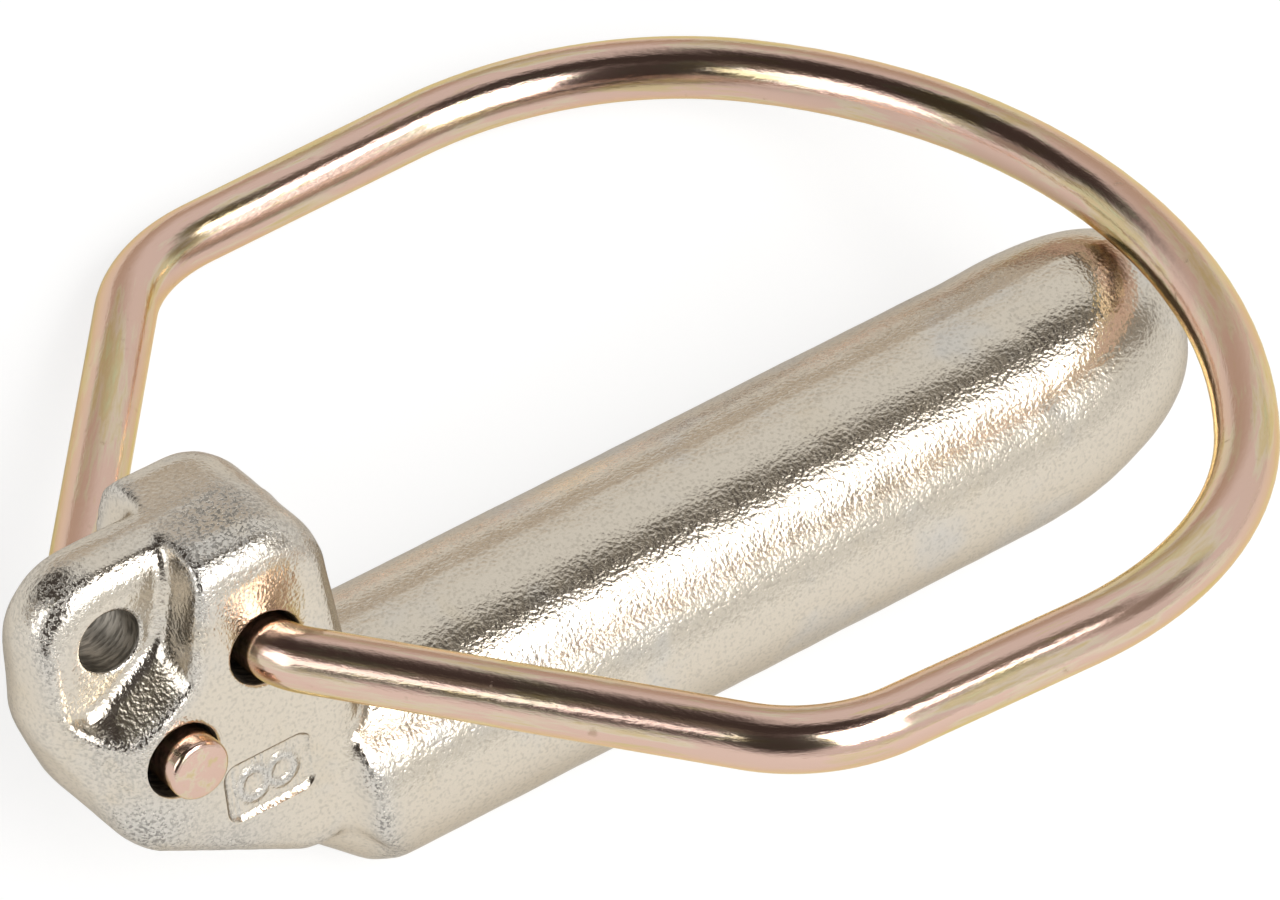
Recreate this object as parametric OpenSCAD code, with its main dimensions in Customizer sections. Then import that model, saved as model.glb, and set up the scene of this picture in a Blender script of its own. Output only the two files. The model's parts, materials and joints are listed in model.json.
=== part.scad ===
// Linch pin: a forged pin with a flat head, and a spring wire D-ring that snaps over the nose.
// The pin is drawn upright: shaft axis along X, nose at +X, wire holes along Y, head lobe up at +Z.
// It is then rolled about the shaft until it lies as it comes to rest, on the shaft and the ring.

/* [Shaft] */
// Diameter of the round shaft
shaft_d = 16; // [14:0.5:18]
// Length of the straight shaft, from the end of the shoulder to the start of the nose
shaft_l = 47.8; // [40:0.2:70]
// Length of the tapered shoulder by which the shaft runs into the head
shoulder_l = 8.2; // [7.6:0.1:9]
// Radius of the shoulder's narrow end, inside the head
shoulder_end_r = 1.6; // [1:0.1:2]
// Length of the nose beyond the straight shaft
nose_l = 11.9; // [9:0.1:15]
// Radius of the blunt end of the nose
nose_end_r = 3.4; // [2:0.1:5]
// How far the end of the nose sits above the shaft axis, on the ring's side
nose_rise = 1.8; // [0:0.1:2.5]

/* [Head] */
// Thickness of the head across its two flat faces
head_t = 12; // [10:0.5:14]
// Rounding of the head's long edges
head_edge_r = 2.4; // [1:0.1:3]
// Thickness of the tab between the two pockets
tab_t = 5.2; // [4.6:0.2:6]
// Rounding of the tab's edges
tab_edge_r = 2; // [1:0.1:2.2]
// Thickness of the head's thin rear rim
rim_t = 6.4; // [6:0.2:8]
// Distance from the shoulder to the foot of the pocket's front wall
pocket_front = 12.6; // [12:0.1:13]
// Distance from the shoulder to the pocket's rear edge
pocket_rear = 19.3; // [18.6:0.1:19.8]
// Height of the front end of the pocket's lower rim, on the head's face
pocket_bottom = 13.2; // [13:0.1:13.6]
// How much lower the rear end of that rim is
pocket_fall = 2.4; // [1.6:0.1:2.6]
// How much the pocket's sloping lower wall climbs from the face to the mid-plane
pocket_climb = 3; // [1:0.1:3.6]
// How much further forward the far pocket is than the near one
pocket_mismatch = 0.6; // [0:0.1:0.8]
// Diameter of the tether hole through the tab
tether_d = 4; // [3:0.2:4.4]
// Distance from the shoulder to the tether hole
tether_x = 15.6; // [15.2:0.1:16.6]
// Height of the tether hole above the shaft axis
tether_z = 17; // [16.8:0.1:18]
// Depth of the sunken marking field
mark_depth = 0.3; // [0.1:0.1:0.6]

/* [Wire holes] */
// Play between the wire and its hole, all round
wire_play = 0.45; // [0.35:0.05:0.7]
// How far the spring pulls the wire forward of the middle of its holes
wire_pull = 0.25; // [0:0.05:0.25]
// Distance from the shoulder to the front hole
front_hole_x = 7.4; // [7:0.1:8]
// Height of the front hole above the shaft axis
front_hole_z = 14.2; // [13.6:0.1:15]
// Distance from the shoulder to the rear hole
rear_hole_x = 13.8; // [13:0.1:14.2]
// Height of the rear hole above the shaft axis
rear_hole_z = 9.3; // [8.6:0.1:10]

/* [Ring] */
// Diameter of the spring wire
wire_d = 3.9; // [3:0.1:4.4]
// How far past the start of the nose the ring's front arc crosses it
ring_on_nose = 10.2; // [7:0.1:11]
// Gap between the closed ring and the nose below it
nose_gap = 0.5; // [0.3:0.1:2]
// Bend radius of the wide front arc
front_arc_r = 42; // [36:1:48]
// Half the angle that the front arc turns through
front_arc_a = 37; // [30:1:44]
// Bend radius where the front arc runs into the straight sides
side_arc_r = 24; // [18:1:28]
// Bend radius between a straight side and its leg
corner_r = 9.8; // [6:0.2:14]
// Angle between the straight side and the front hole's leg
front_leg_a = 53.5; // [48:0.5:58]
// Angle between the straight side and the rear hole's leg
rear_leg_a = 50.8; // [46:0.2:56]
// Bend radius where a leg turns into its hole
end_bend_r = 4.5; // [3.5:0.1:6]
// How far the cut ends stand out of the head
end_proud = 1.5; // [1:0.1:4]
// Chamfer on the cut ends of the wire
end_chamfer = 0.35; // [0.2:0.05:0.8]
// How far the ring has slid sideways in its holes, toward the rear hole's leg
ring_slide = 1.2; // [0:0.1:1.6]

/* [Hidden] */
$fn = 64;

shaft_r = shaft_d / 2;
wire_r = wire_d / 2;
wire_hole_d = wire_d + 2 * wire_play;
blend_fn = 32;

// The nose: its radius shrinks along a blunt curve while its centre climbs.
nose_slices = 14;
nose_blunt = 2.15;
nose_climb = 1.3;
nose_inset = 0.02;
function nose_along(i) = pow(sin(90 * i / nose_slices), 2 / nose_blunt);
function nose_radius(i) =
    nose_end_r
    + (shaft_r - nose_inset - nose_end_r) * pow(cos(90 * i / nose_slices), 2 / nose_blunt);
function nose_height(i) = nose_rise * pow(nose_along(i), nose_climb);

// The shoulder narrows gently at first, then more steeply.
shoulder_rim_l = 1.3;
shoulder_rim_r = 0.5;

// The head's rounded corners: distance behind the shoulder, height, corner radius, thickness.
lobe_front = [6.6, 17, 4.75, head_t];
lobe_middle = [9.8, 18.3, 3.45, head_t];
lobe_rear = [15.8, 16.5, 4.7, rim_t];
back = [15.1, 12.4, 5.65, rim_t];
hip = [15.3, 9.35, 4.5, rim_t];
boss = [13.2, 10.6, 4.4, head_t];
heel = [12.8, 6.6, 5.2, head_t - 0.4];
neck = [4.9, 1.7, 4.5, head_t];
head_corners = [lobe_front, lobe_middle, lobe_rear, back, hip, boss, heel, neck];
// The tab's upper rear corner: distance behind the shoulder, height and radius.
tab_corner = [15.7, 16.9, 4.8];

// The pocket's rear and front walls lean outward a little, and its front wall also leans forward
// toward the open top.
pocket_draft = 0.2;
pocket_corner_r = 1.8;
pocket_front_lean = 0.17;
pocket_top = lobe_middle[1] + 8;

mark_l = 5.7;
mark_h = 3.8;
mark_x = 8.4;
mark_z = 5.1;
mark_corner_r = 0.8;

// The closed ring crosses the nose at the lowest height that leaves its gap all along the nose.
ring_reach = shaft_l + ring_on_nose;
seat_r = wire_r + nose_gap;
ring_front_z = max([
    for (i = [0:0.25:nose_slices])
        let (past = nose_l * nose_along(i) - ring_on_nose)
            if (abs(past) < seat_r)
                nose_height(i) + nose_radius(i) + sqrt(pow(seat_r, 2) - pow(past, 2))
]);

// Each half of the ring lies in its own plane through the front arc, tipped toward its hole.
front_span = ring_reach + front_hole_x - wire_pull;
rear_span = ring_reach + rear_hole_x - wire_pull;
front_climb = front_hole_z - ring_front_z;
rear_climb = rear_hole_z - ring_front_z;
front_half_tip = atan2(front_climb, front_span);
rear_half_tip = atan2(rear_climb, rear_span);
front_half_l = norm([front_climb, front_span]);
rear_half_l = norm([rear_climb, rear_span]);
ring_half_w = front_arc_r * sin(front_arc_a) + side_arc_r * (1 - sin(front_arc_a));
arcs_l = front_arc_r * (1 - cos(front_arc_a)) + side_arc_r * cos(front_arc_a);
bend_inset = 0.4;
end_l = head_t - bend_inset + end_proud;
bend_facet = 6;
wire_sides = 24;
front_bend_y = head_t / 2 - bend_inset + ring_slide;
rear_bend_y = head_t / 2 - bend_inset - ring_slide;

// Leg and side lengths that bring a half of the ring to its own hole.
function leg_l(leg_a, bend_y) =
    (ring_half_w - corner_r * (1 - cos(leg_a)) - end_bend_r * cos(leg_a) - bend_y) / sin(leg_a);
function side_l(half_l, leg_a, bend_y) =
    half_l - arcs_l - corner_r * sin(leg_a) - leg_l(leg_a, bend_y) * cos(leg_a)
    - end_bend_r * (1 - sin(leg_a));

// At rest the shaft and the lower end of the rear half's straight side touch the ground together.
rest_along = arcs_l + side_l(rear_half_l, rear_leg_a, rear_bend_y);
rest_y = ring_half_w + ring_slide;
rest_z = ring_front_z + rear_climb * rest_along / rear_half_l;
rest_roll = atan2(rest_z, rest_y) + asin((shaft_r - wire_r) / norm([rest_y, rest_z]));

// A disc with rounded rims, lying in the head's plane.
module rounded_disc(corner, edge_r = head_edge_r) {
    thickness = corner[3];
    translate([-corner[0], 0, corner[1]])
        rotate([90, 0, 0])
            for (a = [0:30:90])
                cylinder(
                    r = corner[2] - edge_r * (1 - cos(a)),
                    h = thickness - 2 * edge_r * (1 - sin(a)),
                    center = true, $fn = blend_fn
                );
}

module shaft() {
    rotate([0, 90, 0])
        rotate_extrude()
            polygon([
                [0, -shoulder_l],
                [shoulder_end_r, -shoulder_l],
                [shaft_r - shoulder_rim_r, -shoulder_rim_l],
                [shaft_r, 0],
                [shaft_r, shaft_l],
                [0, shaft_l]
            ]);
}

module nose() {
    slice_t = 0.02;
    hull()
        for (i = [0:nose_slices])
            translate([shaft_l + nose_l * nose_along(i), 0, nose_height(i)])
                rotate([0, -90, 0])
                    cylinder(r = nose_radius(i), h = slice_t, $fn = blend_fn * 2);
}

// Half of the cut that thins the head's upper rear corner, from the middle out to one face.
module pocket(side) {
    hull()
        for (level = [0, 1])
            for (corner = [
                [-pocket_rear, pocket_bottom - pocket_fall + pocket_climb * (1 - level), 1, 1],
                [-pocket_rear, pocket_top, 1, -1],
                [-pocket_front, pocket_bottom + pocket_climb * (1 - level), -1, 1],
                [-pocket_front, pocket_top, -1, -1]
            ]) {
                lean = corner[2] > 0 ? 0 : pocket_front_lean * (corner[1] - pocket_bottom);
                translate([
                    corner[0] + corner[2] * (pocket_corner_r - pocket_draft * level) + lean,
                    side * head_t / 2 * level,
                    corner[1] + corner[3] * pocket_corner_r
                ])
                    rotate([90, 0, 0])
                        cylinder(r = pocket_corner_r, h = 0.02, center = true, $fn = blend_fn);
            }
}

// The web left between the two pockets, with a rounded top edge.
module tab() {
    hull()
        for (corner = [[pocket_front - 2, tab_corner[1], tab_corner[2]], tab_corner, back])
            rounded_disc([corner[0], corner[1], corner[2], tab_t], tab_edge_r);
}

module head() {
    difference() {
        hull()
            for (corner = head_corners)
                rounded_disc(corner);
        translate([pocket_mismatch, 0, 0])
            pocket(1);
        pocket(-1);
    }
    tab();
}

module bore(x, z, d) {
    translate([-x, 0, z])
        rotate([90, 0, 0])
            cylinder(d = d, h = head_t * 2, center = true);
}

module marking_field() {
    translate([-mark_x, mark_depth - head_t / 2, mark_z])
        rotate([90, 0, 0])
            linear_extrude(height = mark_depth * 4) {
                square([mark_l - 2 * mark_corner_r, mark_h], center = true);
                square([mark_l, mark_h - 2 * mark_corner_r], center = true);
                for (x = [-1, 1], z = [-1, 1])
                    translate([x * (mark_l / 2 - mark_corner_r), z * (mark_h / 2 - mark_corner_r)])
                        circle(r = mark_corner_r);
            }
}

// The wire is followed in the plane of its half as [along, across, heading]: along runs from the
// front arc toward the head, and a heading of 0 points straight across. Each step is
// [bend radius, angle] or, with no radius, [0, length].
function ahead(at, step) =
    step[0] == 0
    ? [at[0] + step[1] * sin(at[2]), at[1] + step[1] * cos(at[2]), at[2]]
    : [
        at[0] + step[0] * (cos(at[2]) - cos(at[2] + step[1])),
        at[1] + step[0] * (sin(at[2] + step[1]) - sin(at[2])),
        at[2] + step[1]
    ];
function route(at, steps, i = 0) =
    i == len(steps) ? [] : let (
        step = steps[i],
        pieces = step[0] == 0 ? 1 : ceil(step[1] / bend_facet),
        stops = [for (k = [1:pieces]) ahead(at, [step[0], step[1] * k / pieces])]
    ) concat(stops, route(stops[pieces - 1], steps, i + 1));

// The places along one half, each as [centre, inward direction, up direction, radius].
function half_sections(side, half_l, leg_a, bend_y, tip) = [
    for (at = concat([[0, 0, 0]], route([0, 0, 0], [
        [front_arc_r, front_arc_a],
        [side_arc_r, 90 - front_arc_a],
        [0, side_l(half_l, leg_a, bend_y)],
        [corner_r, leg_a],
        [0, leg_l(leg_a, bend_y)],
        [end_bend_r, 90 - leg_a],
        [0, end_l - end_chamfer],
        [0, end_chamfer]
    ])))
        let (backward = [-cos(tip), 0, sin(tip)], outward = [0, side, 0])
            [
                [ring_reach, ring_slide, ring_front_z] + at[0] * backward + at[1] * outward,
                cos(at[2]) * backward - sin(at[2]) * outward,
                [sin(tip), 0, cos(tip)],
                wire_r
            ]
];
function with_cut_end(sections) = [
    for (i = [0:len(sections) - 1])
        let (s = sections[i])
            i < len(sections) - 1 ? s : [s[0], s[1], s[2], wire_r - end_chamfer]
];
function backward_list(list) = [for (i = [len(list) - 1:-1:0]) list[i]];

// A skin of flat faces over round sections placed one after another.
module skin(sections) {
    n = wire_sides;
    last = len(sections) - 1;
    points = [
        for (s = sections, j = [0:n - 1])
            s[0] + s[3] * (cos(360 * j / n) * s[1] + sin(360 * j / n) * s[2])
    ];
    sides = [
        for (i = [0:last - 1], j = [0:n - 1])
            let (k = (j + 1) % n)
                [i * n + j, (i + 1) * n + j, (i + 1) * n + k, i * n + k]
    ];
    ends = [
        [for (j = [0:n - 1]) j],
        [for (j = [n - 1:-1:0]) last * n + j]
    ];
    polyhedron(points = points, faces = concat(ends, sides), convexity = 8);
}

module forged_pin() {
    color([0.83, 0.80, 0.73])
        rotate([-rest_roll, 0, 0])
            difference() {
                union() {
                    shaft();
                    nose();
                    head();
                }
                bore(front_hole_x, front_hole_z, wire_hole_d);
                bore(rear_hole_x, rear_hole_z, wire_hole_d);
                bore(tether_x, tether_z, tether_d);
                marking_field();
            }
}

module wire_ring() {
    rear_sections = half_sections(1, rear_half_l, rear_leg_a, rear_bend_y, rear_half_tip);
    color([0.78, 0.66, 0.48])
        rotate([-rest_roll, 0, 0])
            skin(concat(
                backward_list(with_cut_end(
                    half_sections(-1, front_half_l, front_leg_a, front_bend_y, front_half_tip)
                )),
                with_cut_end([
                    for (i = [1:len(rear_sections) - 1]) rear_sections[i]
                ])
            ));
}

forged_pin();
wire_ring();
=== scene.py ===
import json
import math
import bpy
import bmesh
import numpy as np
from mathutils import Euler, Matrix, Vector


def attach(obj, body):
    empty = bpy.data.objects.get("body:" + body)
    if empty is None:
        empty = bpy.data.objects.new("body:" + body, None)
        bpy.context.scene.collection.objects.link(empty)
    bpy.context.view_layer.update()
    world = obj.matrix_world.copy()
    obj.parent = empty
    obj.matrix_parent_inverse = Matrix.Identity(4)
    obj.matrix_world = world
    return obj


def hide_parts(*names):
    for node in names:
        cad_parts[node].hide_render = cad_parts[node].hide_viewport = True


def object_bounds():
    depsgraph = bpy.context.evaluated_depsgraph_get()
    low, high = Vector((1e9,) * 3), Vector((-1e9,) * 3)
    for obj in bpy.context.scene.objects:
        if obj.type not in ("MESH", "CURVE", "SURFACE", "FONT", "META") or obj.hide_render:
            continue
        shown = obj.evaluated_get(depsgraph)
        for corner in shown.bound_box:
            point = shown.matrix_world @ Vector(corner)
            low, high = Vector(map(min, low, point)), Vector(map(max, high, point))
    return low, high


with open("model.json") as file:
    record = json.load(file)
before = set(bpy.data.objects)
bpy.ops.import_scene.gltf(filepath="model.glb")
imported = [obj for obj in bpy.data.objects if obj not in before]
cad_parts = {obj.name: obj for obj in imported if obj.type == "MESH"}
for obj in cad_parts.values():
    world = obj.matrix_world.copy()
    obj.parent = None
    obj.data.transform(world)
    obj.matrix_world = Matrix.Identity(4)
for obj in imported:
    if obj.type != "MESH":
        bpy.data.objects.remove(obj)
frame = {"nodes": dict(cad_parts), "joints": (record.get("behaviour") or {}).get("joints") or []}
cadLow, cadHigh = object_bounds()
scene = bpy.context.scene
millimetre = 0.001

# The pin lies rolled about its shaft, and the ring's hinge axis tells by how much.
hingeAxis = frame["joints"][0]["axis"]
restRoll = math.atan2(hingeAxis[2], -hingeAxis[1])


# Places on the upright pin, in millimetres, become places in the frame, and back.
def layDown(points):
    x, y, z = np.moveaxis(np.asarray(points, float), -1, 0)
    turned = [
        x,
        y * math.cos(restRoll) + z * math.sin(restRoll),
        z * math.cos(restRoll) - y * math.sin(restRoll),
    ]
    return np.stack(turned, axis=-1) * millimetre


def standUp(points):
    x, y, z = np.moveaxis(np.asarray(points, float) / millimetre, -1, 0)
    turned = [
        x,
        y * math.cos(restRoll) - z * math.sin(restRoll),
        z * math.cos(restRoll) + y * math.sin(restRoll),
    ]
    return np.stack(turned, axis=-1)


def newPiece(name, points, faces):
    mesh = bpy.data.meshes.new(name)
    mesh.from_pydata([tuple(p) for p in points], [], [tuple(f) for f in faces])
    piece = bpy.data.objects.new(name, mesh)
    scene.collection.objects.link(piece)
    return piece


# The faces of a tube made of round sections, shut at both ends.
def tubeFaces(sections, sides):
    faces = []
    for near in range(0, (sections - 1) * sides, sides):
        far = near + sides
        for k in range(sides):
            n = (k + 1) % sides
            faces.append((near + k, far + k, far + n, near + n))
    last = (sections - 1) * sides
    return faces + [tuple(range(sides)), tuple(range(last + sides - 1, last - 1, -1))]


def faceOutward(mesh):
    shape = bmesh.new()
    shape.from_mesh(mesh)
    bmesh.ops.recalc_face_normals(shape, faces=shape.faces)
    shape.to_mesh(mesh)
    shape.free()


def applyModifiers(piece):
    graph = bpy.context.evaluated_depsgraph_get()
    shaped = bpy.data.meshes.new_from_object(piece.evaluated_get(graph))
    piece.modifiers.clear()
    piece.data = shaped


def readPoints(mesh):
    points = np.empty(len(mesh.vertices) * 3)
    mesh.vertices.foreach_get("co", points)
    return points.reshape(-1, 3)


def readNormals(mesh):
    normals = np.empty(len(mesh.vertices) * 3)
    mesh.vertex_normals.foreach_get("vector", normals)
    return normals.reshape(-1, 3)


def writePoints(mesh, points):
    mesh.vertices.foreach_set("co", np.asarray(points, float).ravel())
    mesh.update()


def smoothShade(mesh, degrees):
    mesh.shade_smooth()
    mesh.set_sharp_from_angle(angle=math.radians(degrees))


def readEdges(mesh):
    ends = np.empty(len(mesh.edges) * 2, int)
    mesh.edges.foreach_get("vertices", ends)
    return ends.reshape(-1, 2)


# The mean of what each point's neighbours hold.
def meanAround(values, ends):
    columns = values.reshape(len(values), -1)
    here = np.concatenate([ends[:, 0], ends[:, 1]])
    there = np.concatenate([ends[:, 1], ends[:, 0]])
    count = np.maximum(np.bincount(here, minlength=len(columns)), 1)
    sums = [
        np.bincount(here, weights=column[there], minlength=len(columns)) for column in columns.T
    ]
    return (np.stack(sums, axis=-1) / count[:, None]).reshape(values.shape)


# How far each point stands out of its neighbours: large on outer edges, negative in hollows.
def standingOut(mesh, ends):
    points = readPoints(mesh)
    return ((points - meanAround(points, ends)) * readNormals(mesh)).sum(axis=1)


def spread(values, ends, rounds):
    for _ in range(rounds):
        values = (values + meanAround(values, ends)) / 2
    return values


# Draws each point toward the middle of its neighbours, by its own share.
def relax(mesh, ends, shares, rounds):
    points = readPoints(mesh)
    for _ in range(rounds):
        points += (meanAround(points, ends) - points) * shares[:, None]
    writePoints(mesh, points)


# Eases a share from 0 to 1 with no corner at either end.
def ease(share):
    return share * share * (3 - 2 * share)


# Rises from 0 to 1 over a stretch, given as its start and its width.
def rampUp(values, stretch):
    start, width = stretch
    return np.clip((values - start) / width, 0, 1)


def keepValues(mesh, name, values):
    layer = mesh.attributes.new(name, "FLOAT", "POINT")
    layer.data.foreach_set("value", np.asarray(values, float))


def raiseValues(mesh, name, least):
    layer = mesh.attributes[name]
    values = np.zeros(len(least), dtype=np.float32)
    layer.data.foreach_get("value", values)
    layer.data.foreach_set("value", np.maximum(values, least).astype(np.float32))


def keepVectors(mesh, name, values):
    layer = mesh.attributes.new(name, "FLOAT_VECTOR", "POINT")
    layer.data.foreach_set("vector", np.asarray(values, float).ravel())


def newMaterial(name):
    material = bpy.data.materials.new(name)
    material.use_nodes = True
    material.node_tree.nodes.clear()
    return material, material.node_tree


def newGroup(name, inputs, outputs):
    group = bpy.data.node_groups.new(name, "ShaderNodeTree")
    for label, kind, value in inputs:
        socket = group.interface.new_socket(label, in_out="INPUT", socket_type=kind)
        if value is not None:
            socket.default_value = value
    for label, kind in outputs:
        group.interface.new_socket(label, in_out="OUTPUT", socket_type=kind)
    return group, group.nodes.new("NodeGroupInput"), group.nodes.new("NodeGroupOutput")


def addNode(tree, kind, settings=None, values=None):
    node = tree.nodes.new(kind)
    for key, value in (settings or {}).items():
        setattr(node, key, value)
    for key, value in (values or {}).items():
        node.inputs[key].default_value = value
    return node


def placeGroup(tree, group, values=None):
    node = tree.nodes.new("ShaderNodeGroup")
    node.node_tree = group
    for key, value in (values or {}).items():
        node.inputs[key].default_value = value
    return node


def mixColours(tree, factor, first, second, blend="MIX"):
    node = addNode(tree, "ShaderNodeMix", {"data_type": "RGBA", "blend_type": blend})
    sockets = node.inputs[0], node.inputs[6], node.inputs[7]
    for socket, value in zip(sockets, (factor, first, second)):
        if isinstance(value, bpy.types.NodeSocket):
            tree.links.new(value, socket)
        else:
            socket.default_value = value
    return node.outputs[2]


def calculate(tree, operation, first, second=0.0, clamp=False):
    node = addNode(tree, "ShaderNodeMath", {"operation": operation, "use_clamp": clamp})
    for socket, value in ((node.inputs[0], first), (node.inputs[1], second)):
        if isinstance(value, bpy.types.NodeSocket):
            tree.links.new(value, socket)
        else:
            socket.default_value = value
    return node.outputs[0]


def stretchRange(tree, value, low, high, newLow=0.0, newHigh=1.0):
    node = addNode(tree, "ShaderNodeMapRange", {"interpolation_type": "SMOOTHSTEP"}, {
        "From Min": low, "From Max": high, "To Min": newLow, "To Max": newHigh,
    })
    tree.links.new(value, node.inputs["Value"])
    return node.outputs["Result"]


studio = {
    "cameraPlace": (-0.23909, -0.23265, 0.54317),
    "cameraTurn": (32.396, -8.741, -34.415),
    "lens": 303.75,
    "floorReach": 3.0,
    "floorGap": 0.00002,
    "floorColour": (0.82, 0.82, 0.81, 1),
    "floorGlow": 1.2,
    "glowSeen": 0.64,
    "glowMirrored": 0.26,
    "dome": (0.80, 0.795, 0.78, 1),
    # Softboxes one metre from the aim, with sizes in metres.
    "aim": (0.02, 0.005, 0.0),
    "lamps": [
        {"azimuth": -85.5, "height": 51, "size": (0.63, 0.83), "power": 7.2},
        {"azimuth": -41, "height": 60, "size": (0.28, 0.28), "power": 0.85},
        {"azimuth": 171, "height": 25, "size": (0.56, 0.56), "power": 1.75},
    ],
    # Darker stretches of the dome: where each is, its half width and how soft its edge is.
    "shades": [
        {"azimuth": 66, "height": -6, "half": 22, "soft": 18, "colour": (0.54, 0.465, 0.39, 1)},
        {"azimuth": 150, "height": 55, "half": 17, "soft": 5, "colour": (0.21, 0.20, 0.155, 1)},
        {"azimuth": 142, "height": 6, "half": 10, "soft": 7, "colour": (0.34, 0.305, 0.26, 1)},
        {"azimuth": -28, "height": 38, "half": 13, "soft": 10, "colour": (0.30, 0.27, 0.235, 1)},
        {"azimuth": 0, "height": 66, "half": 15, "soft": 7, "colour": (0.21, 0.19, 0.16, 1)},
        {"azimuth": -147, "height": 40, "half": 31, "soft": 8, "colour": (0.055, 0.045, 0.04, 1)},
        {"azimuth": 115, "height": 35, "half": 26, "soft": 8, "colour": (0.055, 0.045, 0.04, 1)},
        {"azimuth": 140, "height": 70, "half": 18, "soft": 7, "colour": (0.055, 0.045, 0.04, 1)},
        {"azimuth": 0, "height": 88, "half": 20, "soft": 6, "colour": (0.055, 0.045, 0.04, 1)},
    ],
}


def towards(azimuth, height):
    a, h = math.radians(azimuth), math.radians(height)
    return Vector((math.cos(a) * math.cos(h), math.sin(a) * math.cos(h), math.sin(h)))


def makeCamera():
    camera = bpy.data.objects.new("camera", bpy.data.cameras.new("camera"))
    scene.collection.objects.link(camera)
    camera.location = studio["cameraPlace"]
    camera.rotation_euler = Euler([math.radians(a) for a in studio["cameraTurn"]], "XYZ")
    camera.data.lens = studio["lens"]
    camera.data.sensor_width = 36
    camera.data.clip_start, camera.data.clip_end = 0.01, 20
    scene.camera = camera


def makeLights():
    middle = Vector(studio["aim"])
    for number, lamp in enumerate(studio["lamps"]):
        light = bpy.data.lights.new(f"softbox{number}", "AREA")
        light.shape = "RECTANGLE"
        light.size, light.size_y = lamp["size"]
        light.energy = lamp["power"]
        holder = bpy.data.objects.new(light.name, light)
        direction = towards(lamp["azimuth"], lamp["height"])
        holder.location = middle + direction
        holder.rotation_euler = direction.to_track_quat("Z", "Y").to_euler()
        scene.collection.objects.link(holder)


# One share for what is seen straight or through glass, one for what metal mirrors, else 0.
def seenShare(tree, straight, mirrored):
    path = addNode(tree, "ShaderNodeLightPath")
    seen = path.outputs["Is Camera Ray"], path.outputs["Is Transmission Ray"]
    direct = calculate(tree, "MULTIPLY", calculate(tree, "MAXIMUM", *seen), straight)
    glossy = calculate(tree, "MULTIPLY", path.outputs["Is Glossy Ray"], mirrored)
    return calculate(tree, "MAXIMUM", direct, glossy)


def makeDome():
    group, inside, out = newGroup("domeShade", [
        ("Direction", "NodeSocketVector", (0, 0, 1)),
        ("Inner", "NodeSocketFloat", 0.9),
        ("Outer", "NodeSocketFloat", 0.8),
    ], [("Mask", "NodeSocketFloat")])
    place = addNode(group, "ShaderNodeTexCoord")
    nearness = addNode(group, "ShaderNodeVectorMath", {"operation": "DOT_PRODUCT"})
    edge = addNode(group, "ShaderNodeMapRange", {"interpolation_type": "SMOOTHSTEP"})
    group.links.new(place.outputs["Generated"], nearness.inputs[0])
    group.links.new(inside.outputs["Direction"], nearness.inputs[1])
    group.links.new(nearness.outputs["Value"], edge.inputs["Value"])
    group.links.new(inside.outputs["Outer"], edge.inputs["From Min"])
    group.links.new(inside.outputs["Inner"], edge.inputs["From Max"])
    group.links.new(edge.outputs["Result"], out.inputs["Mask"])

    world = bpy.data.worlds.new("studio")
    scene.world = world
    world.use_nodes = True
    tree = world.node_tree
    tree.nodes.clear()
    colour = studio["dome"]
    for shade in studio["shades"]:
        half, soft = shade["half"], shade["soft"]
        mask = placeGroup(tree, group, {
            "Direction": towards(shade["azimuth"], shade["height"]),
            "Inner": math.cos(math.radians(max(half - soft, 0))),
            "Outer": math.cos(math.radians(half + soft)),
        })
        colour = mixColours(tree, mask.outputs["Mask"], colour, shade["colour"])
    lit = addNode(tree, "ShaderNodeBackground")
    white = addNode(tree, "ShaderNodeBackground", None, {"Color": (1, 1, 1, 1), "Strength": 1.0})
    pick = addNode(tree, "ShaderNodeMixShader")
    end = addNode(tree, "ShaderNodeOutputWorld")
    tree.links.new(colour, lit.inputs["Color"])
    tree.links.new(seenShare(tree, 1.0, 0.0), pick.inputs[0])
    tree.links.new(lit.outputs[0], pick.inputs[1])
    tree.links.new(white.outputs[0], pick.inputs[2])
    tree.links.new(pick.outputs[0], end.inputs["Surface"])


def makeFloor():
    material, tree = newMaterial("floorPale")
    surface = addNode(tree, "ShaderNodeBsdfPrincipled", None, {
        "Base Color": studio["floorColour"], "Roughness": 0.9, "Specular IOR Level": 0.1,
    })
    glow = addNode(tree, "ShaderNodeEmission", None, {
        "Color": (1, 1, 1, 1), "Strength": studio["floorGlow"],
    })
    share = seenShare(tree, studio["glowSeen"], studio["glowMirrored"])
    pick = addNode(tree, "ShaderNodeMixShader")
    end = addNode(tree, "ShaderNodeOutputMaterial")
    tree.links.new(share, pick.inputs[0])
    tree.links.new(surface.outputs[0], pick.inputs[1])
    tree.links.new(glow.outputs[0], pick.inputs[2])
    tree.links.new(pick.outputs[0], end.inputs["Surface"])
    half, level = studio["floorReach"], cadLow.z - studio["floorGap"]
    floor = newPiece("floor", [
        (-half, -half, level), (half, -half, level), (half, half, level), (-half, half, level),
    ], [(0, 1, 2, 3)])
    floor.data.materials.append(material)


makeCamera()
makeLights()
makeDome()
makeFloor()
scene.view_settings.view_transform = "Standard"
print("studio ready")


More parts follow.
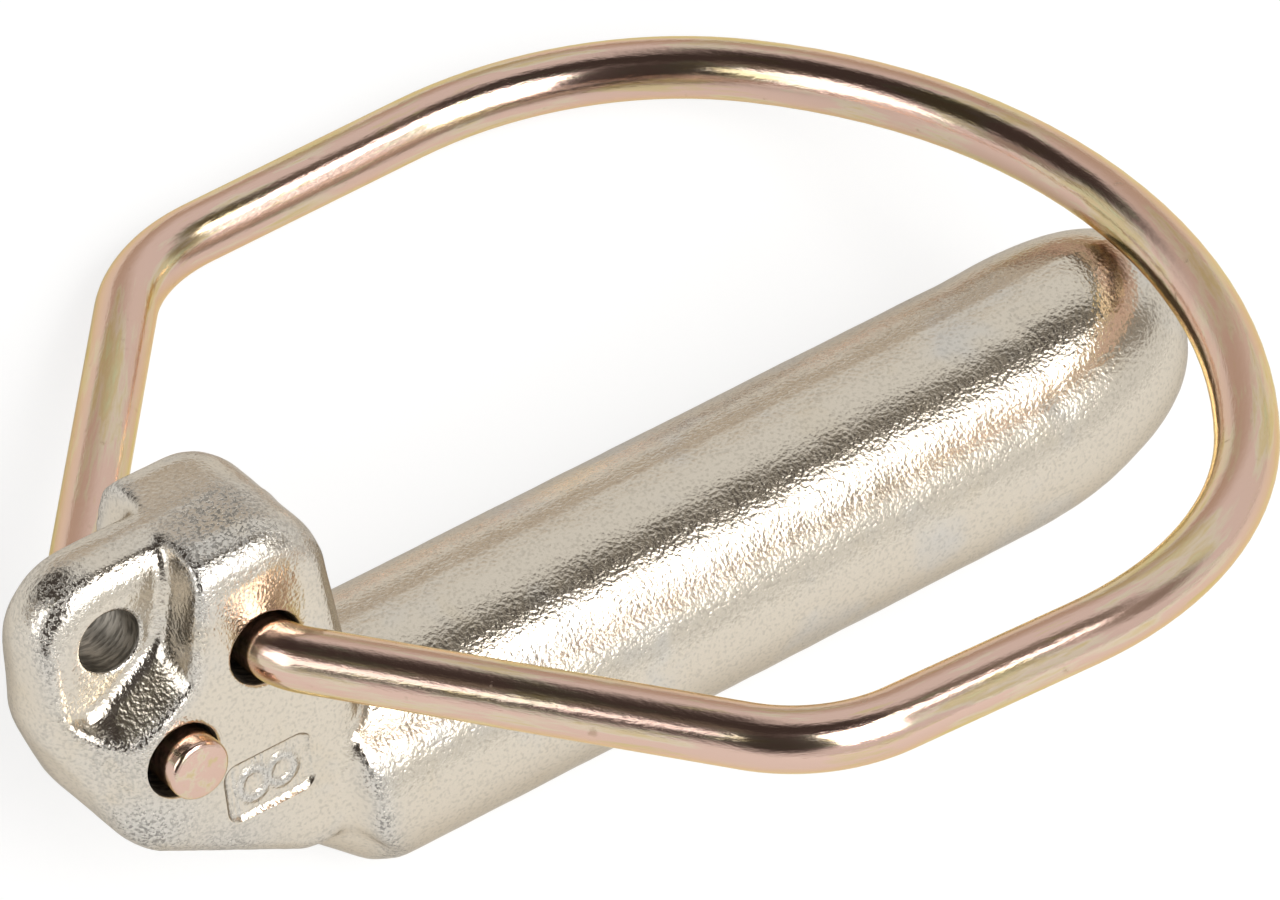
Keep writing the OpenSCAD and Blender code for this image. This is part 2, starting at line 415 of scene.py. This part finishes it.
# Surface effects that the materials share, with lengths in millimetres.
def makePeelGroup():
    group, inside, out = newGroup("orangePeel", [
        ("Place", "NodeSocketVector", None),
        ("Lump Size", "NodeSocketFloat", 0.5),
        ("Crispness", "NodeSocketFloat", 0.5),
    ], [("Height", "NodeSocketFloat")])
    often = calculate(group, "DIVIDE", 1.0, inside.outputs["Lump Size"])
    lumps = addNode(group, "ShaderNodeTexNoise", None, {"Detail": 2.0, "Roughness": 0.45})
    cells = addNode(group, "ShaderNodeTexVoronoi", {"feature": "SMOOTH_F1"}, {"Smoothness": 0.6})
    for texture in (lumps, cells):
        group.links.new(inside.outputs["Place"], texture.inputs["Vector"])
        group.links.new(often, texture.inputs["Scale"])
    crisp = calculate(group, "MULTIPLY", cells.outputs["Distance"], inside.outputs["Crispness"])
    height = calculate(group, "ADD", lumps.outputs["Fac"], crisp)
    group.links.new(height, out.inputs["Height"])
    return group


def makePatchGroup():
    group, inside, out = newGroup("patches", [
        ("Place", "NodeSocketVector", None),
        ("Size", "NodeSocketFloat", 5.0),
        ("From", "NodeSocketFloat", 0.4),
        ("To", "NodeSocketFloat", 0.6),
    ], [("Mask", "NodeSocketFloat")])
    often = calculate(group, "DIVIDE", 1.0, inside.outputs["Size"])
    cloud = addNode(group, "ShaderNodeTexNoise", None, {"Detail": 3.0, "Roughness": 0.55})
    edge = addNode(group, "ShaderNodeMapRange", {"interpolation_type": "SMOOTHSTEP"})
    group.links.new(inside.outputs["Place"], cloud.inputs["Vector"])
    group.links.new(often, cloud.inputs["Scale"])
    group.links.new(cloud.outputs["Fac"], edge.inputs["Value"])
    group.links.new(inside.outputs["From"], edge.inputs["From Min"])
    group.links.new(inside.outputs["To"], edge.inputs["From Max"])
    group.links.new(edge.outputs["Result"], out.inputs["Mask"])
    return group


peelGroup = makePeelGroup()
patchGroup = makePatchGroup()


# Places on the upright pin in millimetres, so that a finish stays put as the ring turns.
def pinPlace(tree):
    place = addNode(tree, "ShaderNodeTexCoord")
    upright = addNode(tree, "ShaderNodeMapping", None, {
        "Rotation": (restRoll, 0, 0), "Scale": (1 / millimetre,) * 3,
    })
    tree.links.new(place.outputs["Object"], upright.inputs["Vector"])
    return upright.outputs[0]


# Ends a metal. What varies comes in as a socket, and a plain value is set on the shader.
def endMetal(tree, colour, roughness, height, depth, grazing=(1, 1, 1, 1)):
    bump = addNode(tree, "ShaderNodeBump", None, {"Strength": 1.0, "Distance": depth * millimetre})
    surface = addNode(tree, "ShaderNodeBsdfPrincipled", None, {
        "Metallic": 1.0, "Specular Tint": grazing,
    })
    end = addNode(tree, "ShaderNodeOutputMaterial")
    if isinstance(roughness, bpy.types.NodeSocket):
        tree.links.new(roughness, surface.inputs["Roughness"])
    else:
        surface.inputs["Roughness"].default_value = roughness
    tree.links.new(height, bump.inputs["Height"])
    tree.links.new(colour, surface.inputs["Base Color"])
    tree.links.new(bump.outputs[0], surface.inputs["Normal"])
    tree.links.new(surface.outputs[0], end.inputs["Surface"])


zincLook = {
    "pale": (0.755, 0.685, 0.58, 1),
    "cool": (0.665, 0.655, 0.635, 1),
    "warm": (0.735, 0.645, 0.505, 1),
    "scuffed": (0.35, 0.335, 0.31, 1),
    "grazing": (0.68, 0.64, 0.585, 1),
    "roughness": 0.18,
    "scuffRoughness": 0.42,
    "peelSize": 0.25,
    "peelDepth": 0.035,
    "waveSize": 1.2,
    "waveDepth": 0.022,
    "pitDepth": 0.9,
    "crispness": 0.35,
    # How dark the painted shade in the peel's hollows gets.
    "peelHollowShade": 0.85,
    "coolShare": 0.7,
    "warmShare": 0.5,
    "coolPatches": {"Size": 7.0, "From": 0.52, "To": 0.74},
    "warmPatches": {"Size": 4.0, "From": 0.55, "To": 0.75},
    "specks": {"Size": 0.21, "From": 0.50, "To": 0.60},
}


def makeZinc():
    look = zincLook
    material, tree = newMaterial("zincPlating")
    place = pinPlace(tree)
    peel = placeGroup(tree, peelGroup, {
        "Lump Size": look["peelSize"], "Crispness": look["crispness"],
    })
    wave = placeGroup(tree, peelGroup, {"Lump Size": look["waveSize"], "Crispness": 0.0})
    cool = placeGroup(tree, patchGroup, look["coolPatches"])
    warm = placeGroup(tree, patchGroup, look["warmPatches"])
    specks = placeGroup(tree, patchGroup, look["specks"])
    for group in (peel, wave, cool, warm, specks):
        tree.links.new(place, group.inputs["Place"])
    scuff = addNode(tree, "ShaderNodeAttribute", {"attribute_name": "scuff"})
    grey = addNode(tree, "ShaderNodeAttribute", {"attribute_name": "grey"})
    scuffs = calculate(tree, "MULTIPLY", scuff.outputs["Fac"], specks.outputs[0], clamp=True)
    coolness = calculate(tree, "MAXIMUM", grey.outputs["Fac"], cool.outputs[0])
    coolness = calculate(tree, "MULTIPLY", coolness, look["coolShare"])
    colour = mixColours(tree, coolness, look["pale"], look["cool"])
    warmth = calculate(tree, "MULTIPLY", warm.outputs[0], look["warmShare"])
    colour = mixColours(tree, warmth, colour, look["warm"])
    # Painted shade: the peel's hollows are painted darker, which also speckles the flat faces.
    peelHollowShade = stretchRange(tree, peel.outputs[0], 0.45, 0.70, look["peelHollowShade"], 1.0)
    colour = mixColours(tree, 1.0, colour, peelHollowShade, "MULTIPLY")
    colour = mixColours(tree, scuffs, colour, look["scuffed"])
    roughness = stretchRange(tree, scuffs, 0.0, 1.0, look["roughness"], look["scuffRoughness"])
    waves = calculate(tree, "MULTIPLY", wave.outputs[0], look["waveDepth"] / look["peelDepth"])
    height = calculate(tree, "ADD", peel.outputs[0], waves)
    pits = calculate(tree, "MULTIPLY", scuffs, look["pitDepth"])
    height = calculate(tree, "SUBTRACT", height, pits)
    endMetal(tree, colour, roughness, height, look["peelDepth"], look["grazing"])
    return material


drilledLook = {
    "colour": (0.52, 0.48, 0.42, 1),
    "dark": (0.25, 0.23, 0.20, 1),
    "ringEvery": 0.28,
    "ringStretch": (0.25, 1.0, 0.25),
    "ringDepth": 0.03,
    "roughness": 0.42,
}


def makeDrilled():
    look = drilledLook
    material, tree = newMaterial("drilledZinc")
    place = pinPlace(tree)
    squeezed = addNode(tree, "ShaderNodeVectorMath", {"operation": "MULTIPLY"}, {
        1: look["ringStretch"],
    })
    tree.links.new(place, squeezed.inputs[0])
    rings = addNode(tree, "ShaderNodeTexNoise", None, {
        "Scale": 1 / look["ringEvery"], "Detail": 2.0, "Roughness": 0.6,
    })
    tree.links.new(squeezed.outputs[0], rings.inputs["Vector"])
    shade = stretchRange(tree, rings.outputs["Fac"], 0.38, 0.62)
    colour = mixColours(tree, shade, look["dark"], look["colour"])
    endMetal(tree, colour, look["roughness"], rings.outputs["Fac"], look["ringDepth"])
    return material


# Lengths are in millimetres, and each stretch is a start and a width.
forging = {
    "voxel": 0.28,
    "softening": 6,
    "hollowSoftening": 12,
    "hollows": (0.004, 0.008),
    "headThickness": 12.0,
    # The plugs that fill the holes are wider than them and end inside the faces.
    "plugGrow": 0.15,
    "plugSink": 0.03,
    # Drilled holes: distance behind the shoulder, height, radius, half thickness of the wall.
    "holes": [(7.4, 14.2, 2.4, 6.0), (13.8, 9.3, 2.4, 6.0), (15.6, 17.0, 2.0, 2.6)],
    "mouthRounding": 0.28,
    "partingHeight": 0.07,
    "partingWidth": 0.45,
    "lumpHeight": 0.06,
    "lumpSize": 2.6,
    "sharpAngle": 42,
    # Edges of the head that stand out are greyed and scuffed, and the rest hardly.
    "edges": (0.004, 0.008),
    "headEnd": (-1.0, 3.0),
    "edgeScuff": 0.45,
    "plainScuff": 0.03,
    # Worn and pitted places: along the pin, across it, height, reach and strength.
    "worn": [
        (-21.1, -4.0, 19.0, 2.2, 1.0),
        (-18.9, -6.0, 10.6, 2.0, 0.8),
        (-16.4, -5.0, 5.0, 2.6, 0.8),
        (-12.0, -4.5, 0.8, 2.6, 0.6),
        (-8.0, -3.0, 21.8, 2.6, 1.0),
        (-6.0, -1.5, 21.2, 1.8, 0.7),
        (-12.6, 0.0, 24.0, 1.6, 0.9),
        (-18.6, -2.0, 22.4, 1.8, 0.9),
        (-0.8, -5.6, -5.6, 0.8, 1.3),
        (-1.4, -6.7, -4.3, 0.8, 1.3),
        (-2.0, -7.5, -2.6, 0.7, 0.8),
        (-2.4, -7.9, -0.6, 0.7, 0.7),
        (-2.4, -7.6, 2.4, 0.8, 1.0),
    ],
}

# The sunken field and the raised numeral in it.
marking = {
    "x": -8.4,
    "z": 5.1,
    "length": 5.7,
    "height": 3.8,
    "corner": 0.8,
    "depth": 0.3,
    "slope": 0.5,
    # The numeral's two bowls: middle along the field, half width, half height.
    "bowls": [(-1.0, 0.92, 1.02), (0.95, 0.88, 0.92)],
    "stroke": 0.85,
    "strokeFoot": 0.12,
    "relief": 0.16,
    "scuff": 0.55,
    "step": 0.06,
    "lidHeight": 1.5,
    "plugMargin": 0.2,
    "plugDepth": (0.01, 1.0),
}


# A cylinder across the head, on the axis of a hole.
def acrossCylinder(x, z, radius, half, sides=48):
    angles = np.linspace(0, 2 * math.pi, sides, endpoint=False)
    points = [
        (x + radius * math.cos(a), y, z + radius * math.sin(a))
        for y in (-half, half) for a in angles
    ]
    return points, tubeFaces(2, sides)


# A box across the head, between two depths.
def acrossBox(x, z, reachX, reachZ, depths):
    points = [
        (x + sx * reachX, y, z + sz * reachZ)
        for y in depths for sx, sz in ((-1, -1), (1, -1), (1, 1), (-1, 1))
    ]
    return points, [
        (0, 1, 2, 3), (7, 6, 5, 4), (0, 4, 5, 1), (1, 5, 6, 2), (2, 6, 7, 3), (3, 7, 4, 0),
    ]


# The shape a drill leaves, with a rounded mouth on each face of the wall.
def drillShape(x, z, radius, half, rounding, sides=64):
    profile = [(radius + rounding * 2, half + rounding * 1.5)]
    for a in np.linspace(0, math.pi / 2, 6):
        profile.append((radius + rounding * (1 - math.sin(a)), half - rounding * (1 - math.cos(a))))
    profile = profile + [(r, -y) for r, y in reversed(profile)]
    angles = np.linspace(0, 2 * math.pi, sides, endpoint=False)
    points = [(x + r * math.cos(a), y, z + r * math.sin(a)) for r, y in profile for a in angles]
    return points, tubeFaces(len(profile), sides)


# The full shaft carries on to a ridge beside the head, and is pared away only underneath.
# The three ends say where it stops along the shaft, underneath, at the sides and above, and
# paring and rising are the angles from underneath between which one end turns into the next.
shoulder = {
    "radius": 7.96,
    "overlap": 1.0,
    "underEnd": -0.1,
    "sideEnd": -2.35,
    "upperEnd": -2.6,
    "paring": (38, 82),
    "rising": (100, 122),
    "rimStart": 0.2,
    "rimDrop": (0.08, 0.14),
    "rampLength": 1.15,
    "rampRadius": 5.9,
    "root": (-6.0, 2.5),
}


def shoulderShape(sides=72):
    angles = np.linspace(-math.pi, math.pi, sides, endpoint=False)
    end = np.full(sides, shoulder["underEnd"])
    for span, goal in (("paring", "sideEnd"), ("rising", "upperEnd")):
        low, high = (math.radians(a) for a in shoulder[span])
        share = np.clip((np.abs(angles) - low) / (high - low), 0, 1)
        end = end + (shoulder[goal] - end) * ease(share)
    radius, (past, drop) = shoulder["radius"], shoulder["rimDrop"]
    rootPlace, rootRadius = shoulder["root"]
    profile = [
        (np.full(sides, shoulder["overlap"]), radius),
        (end + shoulder["rimStart"], radius),
        (end - past, radius - drop),
        (end - shoulder["rampLength"], shoulder["rampRadius"]),
        (np.full(sides, rootPlace), rootRadius),
    ]
    points = []
    for x, r in profile:
        points += [(x[k], r * math.sin(angles[k]), -r * math.cos(angles[k])) for k in range(sides)]
    return points, tubeFaces(len(profile), sides)


# How far a point stands on the numeral's rounded strokes, from 0 beside them to 1 on top.
def onNumeral(x, z):
    on = np.zeros_like(x)
    for middle, halfWidth, halfHeight in marking["bowls"]:
        radial = np.hypot((x - middle) / halfWidth, z / halfHeight)
        away = np.abs(radial - 1) * (halfWidth + halfHeight) / 2
        bead = np.clip(1 - away / (marking["stroke"] / 2 + marking["strokeFoot"]), 0, 1)
        on = np.maximum(on, ease(bead))
    return on


# What cuts the sunken field out of the face: its floor slopes up all round, and the numeral
# stays standing as two bowls end to end.
def fieldShape(face):
    field = marking
    corner, slope, step = field["corner"], field["slope"], field["step"]
    reachX, reachZ = field["length"] / 2 + slope, field["height"] / 2 + slope
    across = np.linspace(-reachX, reachX, math.ceil(2 * reachX / step))
    up = np.linspace(-reachZ, reachZ, math.ceil(2 * reachZ / step))
    x, z = np.meshgrid(across, up, indexing="ij")
    sideX = np.abs(x) - field["length"] / 2 + corner
    sideZ = np.abs(z) - field["height"] / 2 + corner
    beyond = np.hypot(np.maximum(sideX, 0), np.maximum(sideZ, 0)) - corner
    beyond = beyond + np.minimum(np.maximum(sideX, sideZ), 0)
    rise = np.clip((beyond + slope / 2) / slope, 0, 1.5)
    depth = field["depth"] * (1 - rise * rise)
    depth = np.minimum(depth, field["depth"] - field["relief"] * onNumeral(x, z))
    floor = np.stack([field["x"] + x, -(face - depth), field["z"] + z], axis=-1).reshape(-1, 3)
    columns, rows = x.shape
    number = np.arange(columns * rows).reshape(columns, rows).tolist()
    faces = []
    for left, right in zip(number, number[1:]):
        for j in range(rows - 1):
            faces.append((left[j], right[j], right[j + 1], left[j + 1]))
    rim = [column[0] for column in number] + number[-1][1:]
    rim += [column[-1] for column in number[-2::-1]] + number[0][-2:0:-1]
    lid = floor[sorted(rim)]
    lid[:, 1] = -(face + field["lidHeight"])
    over = {below: len(floor) + k for k, below in enumerate(sorted(rim))}
    for a, b in zip(rim, rim[1:] + rim[:1]):
        faces.append((a, b, over[b], over[a]))
    faces.append(tuple(over[i] for i in rim))
    return np.concatenate([floor, lid]), faces


def joinShapes(name, shapes):
    points, faces = [], []
    for shapePoints, shapeFaces in shapes:
        start = len(points)
        points += list(layDown(shapePoints))
        faces += [tuple(start + i for i in f) for f in shapeFaces]
    piece = newPiece(name, points, faces)
    faceOutward(piece.data)
    return piece


# The CAD skin with its holes and field filled and the shoulder's ridge added, made soft.
def makeSoftSkin(name):
    half, margin = forging["headThickness"] / 2, marking["plugMargin"]
    fillers = [
        acrossCylinder(-x, z, radius + forging["plugGrow"], wall - forging["plugSink"])
        for x, z, radius, wall in forging["holes"]
    ]
    fillers.append(acrossBox(
        marking["x"], marking["z"], marking["length"] / 2 + margin, marking["height"] / 2 + margin,
        [depth - half for depth in marking["plugDepth"]],
    ))
    filler = joinShapes("filler", fillers + [shoulderShape()])
    shape = bmesh.new()
    shape.from_mesh(frame["nodes"]["forged_pin"].data)
    shape.from_mesh(filler.data)
    mesh = bpy.data.meshes.new(name)
    shape.to_mesh(mesh)
    shape.free()
    bpy.data.objects.remove(filler)
    piece = bpy.data.objects.new(name, mesh)
    scene.collection.objects.link(piece)
    skin = piece.modifiers.new("skin", "REMESH")
    skin.mode = "VOXEL"
    skin.voxel_size = forging["voxel"] * millimetre
    soften = piece.modifiers.new("soften", "SMOOTH")
    soften.factor, soften.iterations = 0.5, forging["softening"]
    applyModifiers(piece)

    ends = readEdges(piece.data)
    hollow = spread(-standingOut(piece.data, ends), ends, 3) / millimetre
    relax(piece.data, ends, 0.5 * rampUp(hollow, forging["hollows"]), forging["hollowSoftening"])
    return piece


# Low lumps over the skin, and the line where the two dies met.
def addForgingMarks(piece):
    clouds = bpy.data.textures.new("lumps", "CLOUDS")
    clouds.noise_scale = forging["lumpSize"] * millimetre
    clouds.noise_depth = 1
    lumps = piece.modifiers.new("lumps", "DISPLACE")
    lumps.texture, lumps.texture_coords = clouds, "LOCAL"
    lumps.strength, lumps.mid_level = forging["lumpHeight"] * millimetre, 0.5
    applyModifiers(piece)
    points, normals = readPoints(piece.data), readNormals(piece.data)
    upright = standUp(points)
    x, y, z = upright.T
    across = y / forging["partingWidth"]
    ridge = forging["partingHeight"] * np.exp(-across * across)
    wander = 0.65 + 0.35 * np.sin(x * 0.9) * np.sin(x * 0.37 + z * 0.6)
    writePoints(piece.data, points + normals * (ridge * wander * millimetre)[:, None])
    return upright


# Grey and scuffed shares, from how far the edges stand out and from the worn places.
def addWear(piece, upright):
    ends = readEdges(piece.data)
    out = spread(standingOut(piece.data, ends), ends, 12) / millimetre
    onHead = rampUp(-upright[:, 0], forging["headEnd"])
    grey = rampUp(out, forging["edges"]) * onHead
    scuff = forging["edgeScuff"] * grey + forging["plainScuff"]
    for x, y, z, reach, strength in forging["worn"]:
        away = np.linalg.norm(upright - (x, y, z), axis=1) / reach
        scuff += strength * np.exp(-away * away)
        grey = np.maximum(grey, np.exp(-away * away * 0.5))
    keepValues(piece.data, "scuff", np.clip(scuff, 0, 1))
    keepValues(piece.data, "grey", spread(grey, ends, 12))


# Drills the holes and sinks the field, whose numeral is greyed as all that stands proud.
def cutHolesAndField(piece):
    half, mouth = forging["headThickness"] / 2, forging["mouthRounding"]
    drills = [drillShape(-x, z, r, wall, mouth) for x, z, r, wall in forging["holes"]]
    cutter = joinShapes("cutter", drills + [fieldShape(half)])
    cut = piece.modifiers.new("cut", "BOOLEAN")
    cut.operation, cut.object, cut.solver = "DIFFERENCE", cutter, "EXACT"
    applyModifiers(piece)
    bpy.data.objects.remove(cutter)
    shape = bmesh.new()
    shape.from_mesh(piece.data)
    bmesh.ops.dissolve_degenerate(shape, dist=0.003 * millimetre, edges=shape.edges[:])
    shape.to_mesh(piece.data)
    shape.free()
    x, y, z = standUp(readPoints(piece.data)).T
    proud = onNumeral(x - marking["x"], z - marking["z"])
    proud = proud * (np.abs(y + half) < 2 * marking["depth"])
    raiseValues(piece.data, "grey", proud)
    raiseValues(piece.data, "scuff", marking["scuff"] * proud)


def inDrilledHole(x, y, z):
    return any(
        math.hypot(x + hx, z - hz) < radius + 0.04 and abs(y) < wall - 0.1
        for hx, hz, radius, wall in forging["holes"]
    )


def makeForgedPin(zinc, drilled):
    piece = makeSoftSkin("forgedPin")
    print("forged pin softened:", len(piece.data.polygons), "faces")
    upright = addForgingMarks(piece)
    addWear(piece, upright)
    cutHolesAndField(piece)
    mesh = piece.data
    mesh.materials.clear()
    mesh.materials.append(zinc)
    mesh.materials.append(drilled)
    for face in mesh.polygons:
        face.material_index = int(inDrilledHole(*standUp(np.array(face.center))))
    smoothShade(mesh, forging["sharpAngle"])
    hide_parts("forged_pin")
    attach(piece, "pin")
    print("forged pin ready:", len(mesh.polygons), "faces")


# Round sections swept along a path. Each point keeps where on the wire it lies.
def sweepRound(name, centres, inward, up, radii, sides):
    centres, inward, up = (np.asarray(v, float) for v in (centres, inward, up))
    angles = np.linspace(0, 2 * math.pi, sides, endpoint=False)
    count = len(centres)
    cosines, sines = np.cos(angles)[:, None], np.sin(angles)[:, None]
    points = np.concatenate([
        centres[i] + radii[i] * (cosines * inward[i] + sines * up[i]) for i in range(count)
    ])
    steps = np.linalg.norm(np.diff(centres, axis=0), axis=1)
    along = np.concatenate([[0], np.cumsum(steps)])
    wireCoord = np.concatenate([
        np.stack([
            radii[i] / max(radii) * np.cos(angles),
            radii[i] / max(radii) * np.sin(angles),
            np.full(sides, along[i]),
        ], axis=1) for i in range(count)
    ])
    piece = newPiece(name, layDown(points), tubeFaces(count, sides))
    keepVectors(piece.data, "wireCoord", wireCoord)
    faceOutward(piece.data)
    return piece


wireLook = {
    "gold": (0.68, 0.54, 0.32, 1),
    "pink": (0.735, 0.52, 0.435, 1),
    "green": (0.66, 0.61, 0.38, 1),
    "champagne": (0.73, 0.605, 0.465, 1),
    "brown": (0.42, 0.30, 0.20, 1),
    "grazing": (0.96, 0.84, 0.50, 1),
    # Colours in turn along and round the wire, each with its place in the drifting sheen.
    "sheen": [
        (0.30, "green"), (0.38, "gold"), (0.45, "champagne"),
        (0.51, "pink"), (0.62, "pink"), (0.70, "gold"),
    ],
    "sheenStretch": (1.5, 1.5, 0.09),
    "sheenDrift": {"Scale": 0.95, "Detail": 5.0, "Roughness": 0.62},
    "stains": {"Size": 1.3, "From": 0.66, "To": 0.80},
    "roughness": 0.14,
    "stainRoughness": 0.4,
    "stainShare": 0.5,
    "lineStretch": (11.0, 11.0, 1.3),
    "lines": {"Scale": 1.0, "Detail": 3.0, "Roughness": 0.6},
    "lineDepth": 0.013,
}


def makeYellowZinc():
    look = wireLook
    material, tree = newMaterial("yellowZinc")
    wire = addNode(tree, "ShaderNodeAttribute", {"attribute_name": "wireCoord"})
    streaked, drawn = (
        addNode(tree, "ShaderNodeVectorMath", {"operation": "MULTIPLY"}, {1: look[stretch]})
        for stretch in ("sheenStretch", "lineStretch")
    )
    for stretched in (streaked, drawn):
        tree.links.new(wire.outputs["Vector"], stretched.inputs[0])
    sheen = addNode(tree, "ShaderNodeTexNoise", None, look["sheenDrift"])
    tree.links.new(streaked.outputs[0], sheen.inputs["Vector"])
    ramp = addNode(tree, "ShaderNodeValToRGB")
    marks, (first, *between, last) = ramp.color_ramp.elements, look["sheen"]
    for mark, (position, name) in zip((marks[0], marks[1]), (first, last)):
        mark.position, mark.color = position, look[name]
    for position, name in between:
        marks.new(position).color = look[name]
    tree.links.new(sheen.outputs["Fac"], ramp.inputs["Fac"])
    stains = placeGroup(tree, patchGroup, look["stains"])
    tree.links.new(pinPlace(tree), stains.inputs["Place"])
    stain = calculate(tree, "MULTIPLY", stains.outputs[0], look["stainShare"])
    colour = mixColours(tree, stain, ramp.outputs["Color"], look["brown"])
    roughness = stretchRange(
        tree, stains.outputs[0], 0.0, 1.0, look["roughness"], look["stainRoughness"],
    )
    lines = addNode(tree, "ShaderNodeTexNoise", None, look["lines"])
    tree.links.new(drawn.outputs[0], lines.inputs["Vector"])
    endMetal(tree, colour, roughness, lines.outputs["Fac"], look["lineDepth"], look["grazing"])
    return material


ring = {
    "wireDiameter": 3.9,
    "reach": 58.0,
    "frontHeight": 10.025,
    "frontArc": (42.0, 37.0),
    "sideArc": 24.0,
    "cornerRadius": 9.8,
    "endBend": 4.5,
    "endLength": 13.1,
    "bendInset": 0.4,
    "slide": 1.2,
    "chamfer": 0.35,
    # For each half: side, distance behind the shoulder and height of its end, leg angle.
    "halves": [(-1, 7.15, 14.2, 53.5), (1, 13.55, 9.3, 50.8)],
    "sides": 40,
    # The longest step along the wire, in degrees where it bends and millimetres where straight.
    "turnStep": 3.0,
    "straightStep": 1.5,
    "crown": 0.05,
    "sharpAngle": 50,
}


# One half of the wire from the middle of the front arc to its cut end.
def halfRoute(side, holeX, holeZ, legAngle):
    reach, frontZ = ring["reach"], ring["frontHeight"]
    arcRadius, arcAngle = ring["frontArc"]
    sideRadius, corner, bend = ring["sideArc"], ring["cornerRadius"], ring["endBend"]
    leg = math.radians(legAngle)
    tip = math.atan2(holeZ - frontZ, reach + holeX)
    length = math.hypot(holeZ - frontZ, reach + holeX)
    half = forging["headThickness"] / 2
    bendY = half - ring["bendInset"] - side * ring["slide"]
    arc = math.radians(arcAngle)
    width = arcRadius * math.sin(arc) + sideRadius * (1 - math.sin(arc))
    arcs = arcRadius * (1 - math.cos(arc)) + sideRadius * math.cos(arc)
    legWidth = width - corner * (1 - math.cos(leg)) - bend * math.cos(leg) - bendY
    legLength = legWidth / math.sin(leg)
    sideLength = length - arcs - corner * math.sin(leg) - legLength * math.cos(leg)
    sideLength -= bend * (1 - math.sin(leg))
    steps = [
        (arcRadius, arcAngle), (sideRadius, 90 - arcAngle), (0, sideLength), (corner, legAngle),
        (0, legLength), (bend, 90 - legAngle), (0, ring["endLength"]),
    ]
    places = [(0.0, 0.0, 0.0)]
    for radius, amount in steps:
        along, across, heading = places[-1]
        longest = ring["turnStep"] if radius else ring["straightStep"]
        pieces = max(1, math.ceil(amount / longest))
        for k in range(1, pieces + 1):
            if radius:
                turned = heading + math.radians(amount * k / pieces)
                places.append((
                    along + radius * (math.cos(heading) - math.cos(turned)),
                    across + radius * (math.sin(turned) - math.sin(heading)),
                    turned,
                ))
            else:
                gone = amount * k / pieces
                places.append((
                    along + gone * math.sin(heading), across + gone * math.cos(heading), heading,
                ))
    backward = np.array([-math.cos(tip), 0, math.sin(tip)])
    outward = np.array([0, side, 0])
    up = np.array([math.sin(tip), 0, math.cos(tip)])
    start = np.array([reach, ring["slide"], frontZ])
    centres = [start + a * backward + b * outward for a, b, h in places]
    inward = [math.cos(h) * backward - math.sin(h) * outward for a, b, h in places]
    return centres, inward, [up] * len(places)


def makeWireRing(yellowZinc):
    near, far = (halfRoute(*half) for half in ring["halves"])
    centres, inward, up = (list(reversed(near[i])) + far[i][1:] for i in range(3))
    radius = ring["wireDiameter"] / 2
    radii = [radius] * len(centres)
    # Each cut end gets a small rounded rim and a nearly flat face.
    for end, step in ((0, 1), (-1, -1)):
        tip, before = centres[end], centres[end + step]
        way = (tip - before) / np.linalg.norm(tip - before)
        rims = []
        for a in np.linspace(0, math.pi / 2, 5):
            rims.append((
                tip - way * ring["chamfer"] * (1 - math.sin(a)),
                radius - ring["chamfer"] * (1 - math.cos(a)),
            ))
        for share in (0.6, 0.3, 0.05):
            crown = way * ring["crown"] * (1 - share)
            rims.append((tip + crown, (radius - ring["chamfer"]) * share))
        cap = [(c, inward[end], up[end], r) for c, r in rims]
        rows = list(zip(centres, inward, up, radii))
        rows = cap[::-1] + rows[1:] if end == 0 else rows[:-1] + cap
        centres, inward, up, radii = (list(column) for column in zip(*rows))
    piece = sweepRound("wireRing", centres, inward, up, radii, ring["sides"])
    piece.data.materials.append(yellowZinc)
    smoothShade(piece.data, ring["sharpAngle"])
    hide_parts("wire_ring")
    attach(piece, "ring")
    print("wire ring ready:", len(piece.data.polygons), "faces")


makeForgedPin(makeZinc(), makeDrilled())
makeWireRing(makeYellowZinc())
